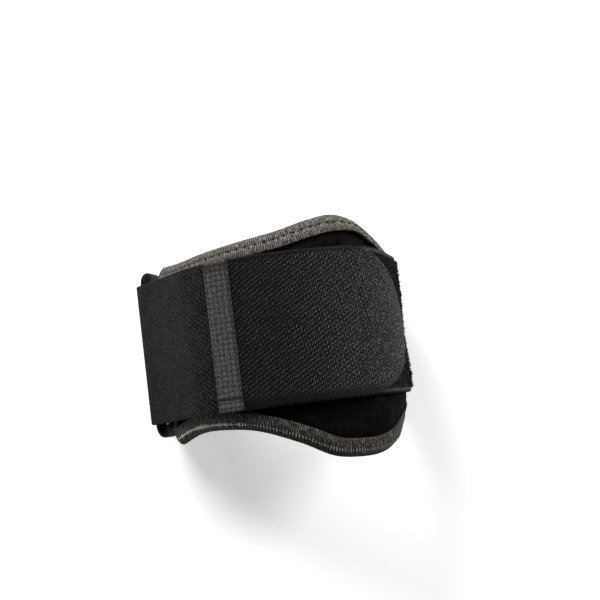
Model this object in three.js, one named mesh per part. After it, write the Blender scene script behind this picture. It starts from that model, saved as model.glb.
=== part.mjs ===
// Forearm support strap for tennis elbow: a bound neoprene pad with a lobe over the muscle, and an elastic
// loop-pile strap that runs round the arm, through a plastic ring and back over itself to a hook tab.
// Millimetres. It lies on its back: +Z up is the front of the support, +Y runs along the forearm to the
// elbow, and the origin is on the flat where the back of the strap rests, under the middle of the round.
import * as THREE from "three";

// Layers, counted outwards from the form line, which is the inside face of the strap on the pad
const GAP = 0.3;
const STRAP_WIDTH = 50;
const STRAP_THICK = 1.3;
const TAB_THICK = 1.3;
const TAPE_THICK = 0.5;
const PAD_EDGE_THICK = 3.2;
const PAD_CROWN = 0.7;
const PAD_CROWN_RAMP = 3.5;
const PAD_EDGE_ROUND = 1.2;
const PAD_EDGE_THIN = 0.8;
const BINDING_THICK = 0.7;
const BINDING_COVER = 6;
const BINDING_ROUND = 2;

// Round of the arm that the form line follows, seen along the forearm
const FORM_RADIUS = 38.3;
const SIDE_DROP = 7;
const REST_CORNER_RADIUS = 25;
const LEAVE_ANGLE = THREE.MathUtils.degToRad(150.9);

// Ring, held by the strap's fold at its front bar and by a sewn loop at its back bar
const RING_LENGTH = 60.8;
const RING_CENTRE_Y = -0.2;
const RING_BAR = 4;
const RING_END_WIDTH = 4.9;
const RING_BAR_SPACING = 13.4;
const RING_CORNER_RADIUS = 2.7;
const RING_SIDES = 8;
const RING_SLOPE = THREE.MathUtils.degToRad(-77);
const FRONT_BAR_DROP = 36.7;
const BACK_VERTEX_X = -24;
const SEWN_LENGTH = 20;

// Bends of the strap beside the bars, measured back from the bar: where each is, and its radius
const FRONT_LEAVE = { back: 1.7, radius: 4 };
const FRONT_MEET = { back: 8.2, radius: 8 };
const BACK_LEAVE = { back: 1.5, radius: 3 };
const BACK_MEET = { back: 9, radius: 6 };

// Places along the form line, from where the strap leaves the round: the ring is at its negative end
const TAPE_START = 14.7;
const TAPE_END = 24;
const STRAP_END = 19.2;
const TAB_END = 88.5;
const TAB_ROUND = 27;
const TAB_TIP_Y = -4;
const TAB_TIP_SPREAD = 0.12;
const PAD_CORNER_RADIUS = 5.5;
const RUN_LENGTH = 45;

// Outline of the bound pad: the heights of its two edges at places along the form line
const PAD_OUTLINE = [
  { along: -27.7, top: 30.0, bottom: -34.8 },
  { along: -8, top: 29.3, bottom: -31.0 },
  { along: 10, top: 29.7, bottom: -30.6 },
  { along: 25, top: 30.8, bottom: -32.3 },
  { along: 40, top: 32.6, bottom: -37.7 },
  { along: 52, top: 35.3, bottom: -43.3 },
  { along: 61, top: 36.5, bottom: -44.5 },
  { along: 70, top: 34.6, bottom: -44.4 },
  { along: 79, top: 30.2, bottom: -42.5 },
  { along: 88, top: 26.4, bottom: -39.2 },
  { along: 98, top: 24.2, bottom: -35.8 },
  { along: 110, top: 23.3, bottom: -33.0 },
  { along: 125, top: 23.0, bottom: -30.5 },
];

const BAR_CLEAR = RING_BAR / 2 + GAP;
const TURN_RADIUS = BAR_CLEAR + STRAP_THICK / 2;
const FOLD_INSIDE = STRAP_THICK + GAP;
const PAD_OUTSIDE = -2 * GAP - BINDING_THICK;
const BINDING_OUTSIDE = -GAP;
const BINDING_INSIDE = PAD_OUTSIDE - PAD_EDGE_THICK - GAP - BINDING_THICK;
const CENTRE_HEIGHT = SIDE_DROP + REST_CORNER_RADIUS;
const ARC_STEP = THREE.MathUtils.degToRad(7.5);
const TURN_STEP = THREE.MathUtils.degToRad(30);

const flat = (x, z) => new THREE.Vector2(x, z);
const leaveNormal = flat(Math.cos(LEAVE_ANGLE), Math.sin(LEAVE_ANGLE));
const leaveDown = flat(-Math.sin(LEAVE_ANGLE), Math.cos(LEAVE_ANGLE));

// A point beside the straight run to the ring: its distance from the round's centre line, and how far down
function besideRun(distance, down) {
  return leaveNormal.clone().multiplyScalar(distance).addScaledVector(leaveDown, down);
}

// The vertex whose fillet of that radius is the arc between two angles about the centre of the round
function arcVertex(radius, from, to) {
  const reach = radius / Math.cos((from - to) / 2);
  const middle = (from + to) / 2;
  return { at: flat(reach * Math.cos(middle), reach * Math.sin(middle)), radius };
}

// A line through vertices in the X-Z plane, with each corner rounded by its radius: lines and arcs in turn,
// which place(s) walks by length. side points to the left of the way along it.
function roundedLine(vertices) {
  const pieces = [];
  let start = vertices[0].at;
  const addLine = (end) => {
    const length = start.distanceTo(end);
    if (length < 1e-6) return;
    const from = start;
    const along = end.clone().sub(from).divideScalar(length);
    const side = flat(-along.y, along.x);
    const place = (s) => ({ at: from.clone().addScaledVector(along, s), side });
    pieces.push({ length, turn: 0, radius: Infinity, place });
  };
  for (let i = 1; i < vertices.length - 1; i++) {
    const { at, radius } = vertices[i];
    const into = at.clone().sub(vertices[i - 1].at).normalize();
    const out = vertices[i + 1].at.clone().sub(at).normalize();
    const turn = Math.atan2(into.cross(out), into.dot(out));
    const reach = radius * Math.tan(Math.abs(turn) / 2);
    const first = at.clone().addScaledVector(into, -reach);
    addLine(first);
    const left = flat(-into.y, into.x).multiplyScalar(Math.sign(turn));
    const centre = first.clone().addScaledVector(left, radius);
    const place = (s) => {
      const angle = (Math.sign(turn) * s) / radius;
      const spoke = first.clone().sub(centre).rotateAround(flat(0, 0), angle);
      const along = into.clone().rotateAround(flat(0, 0), angle);
      return { at: centre.clone().add(spoke), side: flat(-along.y, along.x) };
    };
    pieces.push({ length: radius * Math.abs(turn), turn, radius, place });
    start = at.clone().addScaledVector(out, reach);
  }
  addLine(vertices.at(-1).at);
  let length = 0;
  for (const piece of pieces) {
    piece.start = length;
    length += piece.length;
  }
  const place = (s) => {
    const piece = pieces.findLast((p) => p.start <= s) ?? pieces[0];
    return piece.place(s - piece.start);
  };
  return { length, pieces, place };
}

// Stations at the ends of every line and arc, with the arcs divided finely enough to look round
function stationsOf(line, smallTurn) {
  const stations = [0];
  for (const { start, length, turn, radius } of line.pieces) {
    const step = radius < smallTurn ? TURN_STEP : ARC_STEP;
    const count = Math.max(1, Math.ceil(Math.abs(turn) / step));
    for (let k = 1; k <= count; k++) stations.push(start + (length * k) / count);
  }
  return stations;
}

// A point on a line's side at an offset from it, at a height along the forearm
function onLine(line, s, y, offset) {
  const { at, side } = line.place(s);
  return [at.x + side.x * offset, y, at.y + side.y * offset + CENTRE_HEIGHT];
}

function geometryOf(points, quads) {
  const geometry = new THREE.BufferGeometry();
  geometry.setAttribute("position", new THREE.Float32BufferAttribute(points.flat(), 3));
  geometry.setIndex(quads.flatMap(([a, b, c, d]) => [a, b, c, a, c, d]));
  geometry.computeVertexNormals();
  return geometry;
}

// A closed tube through rings of points, each ring with as many points as the next. A looped tube joins its
// last ring to its first, and any other has end caps that are strips between the two halves of a ring.
function skin(rings, looped) {
  const sides = rings[0].length;
  const quads = [];
  const last = looped ? rings.length : rings.length - 1;
  for (let i = 0; i < last; i++) {
    const here = i * sides;
    const next = ((i + 1) % rings.length) * sides;
    for (let k = 0; k < sides; k++) {
      const beside = (k + 1) % sides;
      quads.push([here + k, here + beside, next + beside, next + k]);
    }
  }
  if (!looped) {
    const end = (rings.length - 1) * sides;
    for (let k = 0; k < sides / 2 - 1; k++) {
      const far = sides - 1 - k;
      quads.push([k, far, far - 1, k + 1]);
      quads.push([end + k, end + k + 1, end + far - 1, end + far]);
    }
  }
  return geometryOf(rings.flat(), quads);
}

// A sheet laid along a line: each row gives its place, its heights, and its two faces' offsets at a height
function sheetAlong(line, rows) {
  const rings = rows.map(({ s, heights, outside, inside }) => [
    ...heights.toReversed().map((y) => onLine(line, s, y, outside(y))),
    ...heights.map((y) => onLine(line, s, y, inside(y))),
  ]);
  return skin(rings, false);
}

// The form line: down the straight run at its start, round the arm, and along the rest at its end
const restInside = STRAP_THICK - CENTRE_HEIGHT;
const formLine = roundedLine([
  { at: besideRun(FORM_RADIUS, RUN_LENGTH) },
  arcVertex(FORM_RADIUS, LEAVE_ANGLE, LEAVE_ANGLE / 2),
  arcVertex(FORM_RADIUS, LEAVE_ANGLE / 2, 0),
  { at: flat(FORM_RADIUS, restInside), radius: REST_CORNER_RADIUS - STRAP_THICK },
  { at: flat(0, restInside) },
]);
const alongForm = (s) => s + RUN_LENGTH;

const frontBar = besideRun(FORM_RADIUS + FOLD_INSIDE - BAR_CLEAR, FRONT_BAR_DROP);
const backBar = flat(Math.cos(RING_SLOPE), Math.sin(RING_SLOPE)).multiplyScalar(RING_BAR_SPACING).add(frontBar);

// The strap's middle line, from its sewn end under the tape, down to the ring's front bar, back up over the
// pad, round the arm and the rest, and round the ring's back bar to its sewn end
function strapLine() {
  const half = STRAP_THICK / 2;
  const runRadius = FORM_RADIUS + half;
  const foldRadius = FORM_RADIUS + FOLD_INSIDE + half;
  const startAngle = LEAVE_ANGLE - STRAP_END / FORM_RADIUS;
  const foldEnd = FRONT_BAR_DROP + TURN_RADIUS;
  const innerRun = foldRadius - 2 * TURN_RADIUS;
  const rest = half - CENTRE_HEIGHT;
  const restRadius = REST_CORNER_RADIUS - half;

  const backVertex = flat(BACK_VERTEX_X, rest);
  const toBar = backBar.clone().sub(backVertex);
  const rise = toBar.angle() + Math.asin(TURN_RADIUS / toBar.length());
  const ahead = flat(Math.cos(rise), Math.sin(rise));
  const inward = flat(ahead.y, -ahead.x);
  const nearBackBar = (across, forward) =>
    backBar.clone().addScaledVector(inward, across).addScaledVector(ahead, forward);
  const sewnAcross = STRAP_THICK + GAP - TURN_RADIUS;

  return roundedLine([
    { at: flat(foldRadius * Math.cos(startAngle), foldRadius * Math.sin(startAngle)) },
    arcVertex(foldRadius, LEAVE_ANGLE, startAngle),
    { at: besideRun(foldRadius, foldEnd), radius: TURN_RADIUS },
    { at: besideRun(innerRun, foldEnd), radius: TURN_RADIUS },
    { at: besideRun(innerRun, FRONT_BAR_DROP - FRONT_LEAVE.back), radius: FRONT_LEAVE.radius },
    { at: besideRun(runRadius, FRONT_BAR_DROP - FRONT_MEET.back), radius: FRONT_MEET.radius },
    arcVertex(runRadius, LEAVE_ANGLE, LEAVE_ANGLE / 2),
    arcVertex(runRadius, LEAVE_ANGLE / 2, 0),
    { at: flat(runRadius, rest), radius: restRadius },
    { at: backVertex, radius: restRadius },
    { at: nearBackBar(-TURN_RADIUS, TURN_RADIUS), radius: TURN_RADIUS },
    { at: nearBackBar(TURN_RADIUS, TURN_RADIUS), radius: TURN_RADIUS },
    { at: nearBackBar(TURN_RADIUS, -BACK_LEAVE.back), radius: BACK_LEAVE.radius },
    { at: nearBackBar(sewnAcross, -BACK_MEET.back), radius: BACK_MEET.radius },
    { at: nearBackBar(sewnAcross, -SEWN_LENGTH) },
  ]);
}

function strap() {
  const line = strapLine();
  const edges = [-STRAP_WIDTH / 2, STRAP_WIDTH / 2];
  const rows = stationsOf(line, 2 * TURN_RADIUS).map((s) => ({
    s,
    heights: edges,
    outside: () => STRAP_THICK / 2,
    inside: () => -STRAP_THICK / 2,
  }));
  return sheetAlong(line, rows);
}

// The tab's end is two quarter ovals that meet at a tip a little below the strap's middle
function hookTab() {
  const start = STRAP_END + GAP;
  const roundStart = TAB_END - TAB_ROUND;
  const straightSteps = 12;
  const roundSteps = 9;
  const edges = [-STRAP_WIDTH / 2, TAB_TIP_Y, STRAP_WIDTH / 2];
  const spreadAt = (s) => {
    const share = Math.max(0, (s - roundStart) / TAB_ROUND);
    return Math.max(TAB_TIP_SPREAD, Math.sqrt(Math.max(0, 1 - share * share)));
  };
  const places = [];
  for (let k = 0; k <= straightSteps; k++) places.push(start + ((roundStart - start) * k) / straightSteps);
  for (let k = 1; k <= roundSteps; k++) {
    places.push(roundStart + TAB_ROUND * Math.sin((Math.PI / 2) * (k / roundSteps)));
  }
  const rows = places.map((s) => ({
    s: alongForm(s),
    heights: edges.map((y) => TAB_TIP_Y + (y - TAB_TIP_Y) * spreadAt(s)),
    outside: () => FOLD_INSIDE + TAB_THICK,
    inside: () => FOLD_INSIDE,
  }));
  return sheetAlong(formLine, rows);
}

function joinTape() {
  const inside = FOLD_INSIDE + STRAP_THICK + GAP;
  const steps = 4;
  const rows = Array.from({ length: steps + 1 }, (_, k) => ({
    s: alongForm(TAPE_START + ((TAPE_END - TAPE_START) * k) / steps),
    heights: [-STRAP_WIDTH / 2, STRAP_WIDTH / 2],
    outside: () => inside + TAPE_THICK,
    inside: () => inside,
  }));
  return sheetAlong(formLine, rows);
}

// The pad's outline, drawn in by an inset: its two ends, and the heights of its edges at a place along it
function padOutline(inset) {
  const topCurve = new THREE.SplineCurve(PAD_OUTLINE.map(({ along, top }) => flat(along, top)));
  const bottomCurve = new THREE.SplineCurve(PAD_OUTLINE.map(({ along, bottom }) => flat(along, bottom)));
  const heightOn = (curve, s) => {
    let low = 0;
    let high = 1;
    for (let k = 0; k < 30; k++) {
      const middle = (low + high) / 2;
      if (curve.getPoint(middle).x < s) low = middle;
      else high = middle;
    }
    return curve.getPoint(low).y;
  };
  const start = PAD_OUTLINE[0].along + inset;
  const end = PAD_OUTLINE.at(-1).along - inset;
  const radius = PAD_CORNER_RADIUS - inset;
  const cornerDrop = (s) => {
    const intoCorner = Math.max(0, radius - Math.min(s - start, end - s));
    return radius - Math.sqrt(Math.max(0, radius * radius - intoCorner * intoCorner));
  };
  return {
    start,
    end,
    top: (s) => heightOn(topCurve, s) - inset - cornerDrop(s),
    bottom: (s) => heightOn(bottomCurve, s) + inset + cornerDrop(s),
  };
}

// Places along an outline, close together round its corners
function outlinePlaces({ start, end }) {
  const cornerSteps = 5;
  const straightSteps = 30;
  const corner = Array.from({ length: cornerSteps }, (_, k) => {
    return PAD_CORNER_RADIUS * (1 - Math.cos(((Math.PI / 2) * k) / cornerSteps));
  });
  const from = start + PAD_CORNER_RADIUS;
  const to = end - PAD_CORNER_RADIUS;
  const step = (to - from) / straightSteps;
  const straight = Array.from({ length: straightSteps + 1 }, (_, k) => from + k * step);
  return [...corner.map((c) => start + c), ...straight, ...corner.toReversed().map((c) => end - c)];
}

// The pad is thin under its binding and crowned between, on both faces, and its edge is rounded
function pad() {
  const outline = padOutline(BINDING_THICK + GAP);
  const flatEdge = BINDING_COVER - BINDING_THICK;
  const crownStart = flatEdge + PAD_CROWN_RAMP;
  const thinAt = (edge) => PAD_EDGE_THIN * Math.max(0, 1 - edge / PAD_EDGE_ROUND);
  const crownAt = (s, y) => {
    const edge = Math.min(outline.top(s) - y, y - outline.bottom(s), s - outline.start, outline.end - s);
    return PAD_CROWN * THREE.MathUtils.smoothstep(edge, flatEdge, crownStart) - thinAt(edge);
  };
  const rows = outlinePlaces(outline).map((s) => {
    const top = outline.top(s);
    const bottom = outline.bottom(s);
    const middle = (top + bottom) / 2;
    return {
      s: alongForm(s),
      heights: [
        bottom,
        bottom + PAD_EDGE_ROUND,
        bottom + flatEdge,
        bottom + crownStart,
        middle,
        top - crownStart,
        top - flatEdge,
        top - PAD_EDGE_ROUND,
        top,
      ],
      outside: (y) => PAD_OUTSIDE + crownAt(s, y),
      inside: (y) => PAD_OUTSIDE - PAD_EDGE_THICK - crownAt(s, y),
    };
  });
  return sheetAlong(formLine, rows);
}

// The binding is a folded tape: a channel section carried round the pad's whole outline
function binding() {
  const outline = padOutline(0);
  const places = outlinePlaces(outline);
  const endSteps = 6;
  const endRun = (s, from, to) =>
    Array.from({ length: endSteps - 1 }, (_, k) => flat(s, from + ((to - from) * (k + 1)) / endSteps));
  const loop = [
    ...places.map((s) => flat(s, outline.top(s))),
    ...endRun(outline.end, outline.top(outline.end), outline.bottom(outline.end)),
    ...places.toReversed().map((s) => flat(s, outline.bottom(s))),
    ...endRun(outline.start, outline.bottom(outline.start), outline.top(outline.start)),
  ];
  const middle = (BINDING_OUTSIDE + BINDING_INSIDE) / 2;
  const half = (BINDING_OUTSIDE - BINDING_INSIDE) / 2;
  const rollSteps = 6;
  // One face of the fold, from lip to lip round the pad's edge
  const fold = (depth) =>
    Array.from({ length: rollSteps + 1 }, (_, k) => {
      const angle = Math.PI * (k / rollSteps - 0.5);
      const roll = BINDING_ROUND - depth;
      return {
        inward: depth + roll * (1 - Math.cos(angle)),
        offset: middle + (half - depth) * Math.sin(angle),
      };
    });
  const lips = (depth) => ({
    back: { inward: BINDING_COVER, offset: middle - half + depth },
    front: { inward: BINDING_COVER, offset: middle + half - depth },
  });
  const section = [
    lips(0).back,
    ...fold(0),
    lips(0).front,
    lips(BINDING_THICK).front,
    ...fold(BINDING_THICK).toReversed(),
    lips(BINDING_THICK).back,
  ];
  const rings = loop.map((point, i) => {
    const before = loop.at(i - 1);
    const after = loop[(i + 1) % loop.length];
    const along = after.clone().sub(before).normalize();
    const inwardWay = flat(along.y, -along.x);
    return section.map(({ inward, offset }) => {
      const p = point.clone().addScaledVector(inwardWay, inward);
      return onLine(formLine, alongForm(p.x), p.y, offset);
    });
  });
  return skin(rings, true);
}

// The ring is a rectangle with rounded corners, standing on the slope between its two round bars; its ends are wider
function ring() {
  const half = (RING_LENGTH - RING_END_WIDTH) / 2;
  const slope = flat(Math.cos(RING_SLOPE), Math.sin(RING_SLOPE));
  const up = flat(-slope.y, slope.x);
  const corners = [
    { y: half, down: RING_BAR_SPACING, from: 0 },
    { y: -half, down: RING_BAR_SPACING, from: Math.PI / 2 },
    { y: -half, down: 0, from: Math.PI },
    { y: half, down: 0, from: (3 * Math.PI) / 2 },
  ];
  const cornerSteps = 5;
  const rings = [];
  for (const { y, down, from } of corners) {
    const centreY = y - Math.sign(y) * RING_CORNER_RADIUS;
    const centreDown = down === 0 ? RING_CORNER_RADIUS : down - RING_CORNER_RADIUS;
    for (let k = 0; k <= cornerSteps; k++) {
      const angle = from + ((Math.PI / 2) * k) / cornerSteps;
      const halfWidth = Math.hypot(RING_END_WIDTH * Math.cos(angle), RING_BAR * Math.sin(angle)) / 2;
      const ring = [];
      for (let j = 0; j < RING_SIDES; j++) {
        const round = (2 * Math.PI * j) / RING_SIDES;
        const reach = RING_CORNER_RADIUS + halfWidth * Math.cos(round);
        const lift = (RING_BAR / 2) * Math.sin(round);
        const along = centreDown + reach * Math.sin(angle);
        const at = frontBar.clone().addScaledVector(slope, along).addScaledVector(up, lift);
        const height = RING_CENTRE_Y + centreY + reach * Math.cos(angle);
        ring.push([at.x, height, at.y + CENTRE_HEIGHT]);
      }
      rings.push(ring);
    }
  }
  return skin(rings, true);
}

const BLACK_ELASTIC = { color: 0x25252a, roughness: 0.8, metalness: 0 };
const BLACK_WEAVE = { color: 0x2c2c2d, roughness: 0.75, metalness: 0 };
const GREY_TAPE = { color: 0x474849, roughness: 0.85, metalness: 0 };
const BLACK_PLUSH = { color: 0x121113, roughness: 0.95, metalness: 0 };
const GREY_KNIT = { color: 0x77726c, roughness: 0.9, metalness: 0 };
const BLACK_PLASTIC = { color: 0x101011, roughness: 0.35, metalness: 0 };

const support = new THREE.Group();
function add(name, geometry, look) {
  const mesh = new THREE.Mesh(geometry, new THREE.MeshStandardMaterial(look));
  mesh.name = name;
  support.add(mesh);
}
add("pad", pad(), BLACK_PLUSH);
add("binding", binding(), GREY_KNIT);
add("strap", strap(), BLACK_ELASTIC);
add("join_tape", joinTape(), GREY_TAPE);
add("hook_tab", hookTab(), BLACK_WEAVE);
add("ring", ring(), BLACK_PLASTIC);

export default support;
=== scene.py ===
import math

import bpy
import numpy as np
from mathutils import Matrix, Vector
from numpy.linalg import norm


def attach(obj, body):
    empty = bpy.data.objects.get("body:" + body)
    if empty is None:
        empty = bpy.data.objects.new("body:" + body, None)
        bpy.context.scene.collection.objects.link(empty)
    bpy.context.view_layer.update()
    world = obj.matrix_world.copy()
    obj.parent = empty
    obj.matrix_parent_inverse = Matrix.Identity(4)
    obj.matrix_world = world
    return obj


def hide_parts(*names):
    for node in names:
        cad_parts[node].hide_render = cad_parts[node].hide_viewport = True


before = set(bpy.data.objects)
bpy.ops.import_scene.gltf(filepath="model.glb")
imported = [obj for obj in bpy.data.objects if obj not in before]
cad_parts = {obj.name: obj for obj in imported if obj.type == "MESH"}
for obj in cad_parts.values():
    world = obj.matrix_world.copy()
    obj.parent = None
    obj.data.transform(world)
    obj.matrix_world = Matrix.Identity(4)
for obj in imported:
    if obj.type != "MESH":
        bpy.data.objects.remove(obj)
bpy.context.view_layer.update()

# Sizes of the support, in millimetres, as its solids have them
MM = 0.001
GAP = 0.3
STRAP_WIDTH = 50.0
STRAP_THICK = 1.3
TAB_THICK = 1.3
TAPE_THICK = 0.5
PAD_EDGE_THICK = 3.2
PAD_CROWN = 0.7
BINDING_THICK = 0.7
BINDING_COVER = 6.0
FORM_RADIUS = 38.3
SIDE_DROP = 7.0
REST_CORNER_RADIUS = 25.0
LEAVE_ANGLE = math.radians(150.9)
RING_LENGTH = 60.8
RING_CENTRE_Y = -0.2
RING_BAR = 4.0
RING_END_WIDTH = 4.9
RING_BAR_SPACING = 13.4
RING_CORNER_RADIUS = 2.7
RING_SLOPE = math.radians(-77)
FRONT_BAR_DROP = 36.7
BACK_VERTEX_X = -24.0
SEWN_LENGTH = 20.0
TAPE_START = 14.7
TAPE_END = 24.0
STRAP_END = 19.2
TAB_END = 88.5
TAB_ROUND = 27.0
TAB_TIP_Y = -4.0
PAD_CORNER_RADIUS = 5.5
RUN_LENGTH = 45.0
FRONT_LEAVE = {"back": 1.7, "radius": 4.0}
FRONT_MEET = {"back": 8.2, "radius": 8.0}
BACK_LEAVE = {"back": 1.5, "radius": 3.0}
BACK_MEET = {"back": 9.0, "radius": 6.0}

# Places along the form line, and the heights of the bound pad's top and bottom edges there
PAD_ALONG, PAD_TOP, PAD_BOTTOM = zip(
    (-27.7, 30.0, -34.8),
    (-8, 29.3, -31.0),
    (10, 29.7, -30.6),
    (25, 30.8, -32.3),
    (40, 32.6, -37.7),
    (52, 35.3, -43.3),
    (61, 36.5, -44.5),
    (70, 34.6, -44.4),
    (79, 30.2, -42.5),
    (88, 26.4, -39.2),
    (98, 24.2, -35.8),
    (110, 23.3, -33.0),
    (125, 23.0, -30.5),
)

HALF_WIDTH = STRAP_WIDTH / 2
BAR_CLEAR = RING_BAR / 2 + GAP
TURN_RADIUS = BAR_CLEAR + STRAP_THICK / 2
FOLD_INSIDE = STRAP_THICK + GAP
PAD_OUTSIDE = -2 * GAP - BINDING_THICK
BINDING_OUTSIDE = -GAP
BINDING_INSIDE = PAD_OUTSIDE - PAD_EDGE_THICK - GAP - BINDING_THICK
CENTRE_HEIGHT = SIDE_DROP + REST_CORNER_RADIUS


def heading(angle):
    return np.array([math.cos(angle), math.sin(angle)])


def lengths_along(points):
    """Running lengths along a line of points, from 0 at the first."""
    return np.concatenate([[0], np.cumsum(norm(np.diff(points, axis=0), axis=1))])


def ease(share):
    """0 to 1 with a soft start and end."""
    share = np.clip(share, 0, 1)
    return share * share * (3 - 2 * share)


# The rounded lines that the strap and the pad follow

LEAVE_NORMAL = heading(LEAVE_ANGLE)
LEAVE_DOWN = np.array([-LEAVE_NORMAL[1], LEAVE_NORMAL[0]])


def beside_run(distance, down):
    return LEAVE_NORMAL * distance + LEAVE_DOWN * down


def arc_vertex(radius, start, end):
    reach = radius / math.cos((start - end) / 2)
    return reach * heading((start + end) / 2), radius


def turned(vectors, angles):
    cos, sin = np.cos(angles), np.sin(angles)
    return np.stack([vectors[0] * cos - vectors[1] * sin, vectors[0] * sin + vectors[1] * cos], axis=-1)


class RoundedLine:
    """Lines and arcs in the X-Z plane, through vertices whose corners are rounded by a radius."""

    def __init__(self, vertices):
        self.pieces = []
        self.length = 0.0
        start = vertices[0][0]
        for (before, _), (at, radius), (after, _) in zip(vertices, vertices[1:], vertices[2:]):
            into = (at - before) / norm(at - before)
            out = (after - at) / norm(after - at)
            turn = math.atan2(into[0] * out[1] - into[1] * out[0], into @ out)
            reach = radius * math.tan(abs(turn) / 2)
            self.add(start, at - into * reach, into, 0.0, math.inf)
            self.add(at - into * reach, None, into, turn, radius)
            start = at + out * reach
        self.add(start, vertices[-1][0], out, 0.0, math.inf)

    def add(self, start, end, way, turn, radius):
        length = radius * abs(turn) if end is None else float(norm(end - start))
        if length > 1e-6:
            piece = {"from": self.length, "length": length, "start": start, "way": way}
            self.pieces.append({**piece, "turn": turn, "radius": radius})
            self.length += length

    def arcs(self):
        return [piece for piece in self.pieces if piece["turn"]]

    def place(self, s):
        """Points and left-hand sides at lengths along the line."""
        s = np.asarray(s, dtype=float)
        points = np.zeros(s.shape + (2,))
        sides = np.zeros(s.shape + (2,))
        for piece in self.pieces:
            inside = (s >= piece["from"]) | (piece is self.pieces[0])
            inside &= (s < piece["from"] + piece["length"]) | (piece is self.pieces[-1])
            along = s[inside] - piece["from"]
            way = piece["way"]
            if piece["turn"]:
                sign = math.copysign(1.0, piece["turn"])
                angles = sign * along / piece["radius"]
                spoke = np.array([way[1], -way[0]]) * sign * piece["radius"]
                points[inside] = piece["start"] - spoke + turned(spoke, angles)
                ways = turned(way, angles)
            else:
                points[inside] = piece["start"] + along[:, None] * way
                ways = np.broadcast_to(way, (along.size, 2))
            sides[inside] = np.stack([-ways[:, 1], ways[:, 0]], axis=-1)
        return points, sides

    def surface(self, s, y, offset):
        """Points in metres at lengths along the line, heights along the forearm and offsets to its side."""
        s, y, offset = np.broadcast_arrays(*(np.asarray(v, dtype=float) for v in (s, y, offset)))
        points, sides = self.place(s)
        x, z = np.moveaxis(points + sides * offset[..., None], -1, 0)
        return np.stack([x, y, z + CENTRE_HEIGHT], axis=-1) * MM


FORM_REST = STRAP_THICK - CENTRE_HEIGHT
FORM_LINE = RoundedLine([
    (beside_run(FORM_RADIUS, RUN_LENGTH), 0),
    arc_vertex(FORM_RADIUS, LEAVE_ANGLE, LEAVE_ANGLE / 2),
    arc_vertex(FORM_RADIUS, LEAVE_ANGLE / 2, 0),
    (np.array([FORM_RADIUS, FORM_REST]), REST_CORNER_RADIUS - STRAP_THICK),
    (np.array([0.0, FORM_REST]), 0),
])
FRONT_BAR = beside_run(FORM_RADIUS + FOLD_INSIDE - BAR_CLEAR, FRONT_BAR_DROP)
RING_WAY = heading(RING_SLOPE)
BACK_BAR = FRONT_BAR + RING_WAY * RING_BAR_SPACING


def on_form(s, y, offset):
    return FORM_LINE.surface(np.asarray(s, dtype=float) + RUN_LENGTH, y, offset)


def make_strap_line():
    half = STRAP_THICK / 2
    run_radius = FORM_RADIUS + half
    fold_radius = FORM_RADIUS + FOLD_INSIDE + half
    start_angle = LEAVE_ANGLE - STRAP_END / FORM_RADIUS
    fold_end = FRONT_BAR_DROP + TURN_RADIUS
    inner_run = fold_radius - 2 * TURN_RADIUS
    rest = half - CENTRE_HEIGHT
    rest_radius = REST_CORNER_RADIUS - half
    back_vertex = np.array([BACK_VERTEX_X, rest])
    to_bar = BACK_BAR - back_vertex
    rise = math.atan2(to_bar[1], to_bar[0]) + math.asin(TURN_RADIUS / norm(to_bar))
    ahead = heading(rise)
    inward = np.array([ahead[1], -ahead[0]])
    sewn_across = STRAP_THICK + GAP - TURN_RADIUS

    def near_back_bar(across, forward):
        return BACK_BAR + inward * across + ahead * forward

    return RoundedLine([
        (fold_radius * heading(start_angle), 0),
        arc_vertex(fold_radius, LEAVE_ANGLE, start_angle),
        (beside_run(fold_radius, fold_end), TURN_RADIUS),
        (beside_run(inner_run, fold_end), TURN_RADIUS),
        (beside_run(inner_run, FRONT_BAR_DROP - FRONT_LEAVE["back"]), FRONT_LEAVE["radius"]),
        (beside_run(run_radius, FRONT_BAR_DROP - FRONT_MEET["back"]), FRONT_MEET["radius"]),
        arc_vertex(run_radius, LEAVE_ANGLE, LEAVE_ANGLE / 2),
        arc_vertex(run_radius, LEAVE_ANGLE / 2, 0),
        (np.array([run_radius, rest]), rest_radius),
        (back_vertex, rest_radius),
        (near_back_bar(-TURN_RADIUS, TURN_RADIUS), TURN_RADIUS),
        (near_back_bar(TURN_RADIUS, TURN_RADIUS), TURN_RADIUS),
        (near_back_bar(TURN_RADIUS, -BACK_LEAVE["back"]), BACK_LEAVE["radius"]),
        (near_back_bar(sewn_across, -BACK_MEET["back"]), BACK_MEET["radius"]),
        (near_back_bar(sewn_across, -SEWN_LENGTH), 0),
    ])


STRAP_LINE = make_strap_line()


# Meshes from grids of points

def add_object(name, data):
    made = bpy.data.objects.new(name, data)
    bpy.context.scene.collection.objects.link(made)
    return made


def add_mesh(name, points, faces, uvs, materials, slots=None):
    """A mesh object from flat arrays; uvs are in millimetres, one for each corner of each face."""
    mesh = bpy.data.meshes.new(name)
    mesh.from_pydata(points.reshape(-1, 3).tolist(), [], [list(map(int, face)) for face in faces])
    layer = mesh.uv_layers.new(name="UVMap")
    layer.data.foreach_set("uv", np.asarray(uvs, dtype=np.float32).ravel())
    for material in materials:
        mesh.materials.append(material)
    if slots is not None:
        mesh.polygons.foreach_set("material_index", np.asarray(slots, dtype=np.int32))
    mesh.polygons.foreach_set("use_smooth", np.ones(len(mesh.polygons), dtype=bool))
    mesh.update()
    piece = add_object(name, mesh)
    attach(piece, "root")
    return piece


def uv_grid(along, across):
    return np.stack(np.broadcast_arrays(along, across), axis=-1)


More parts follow.
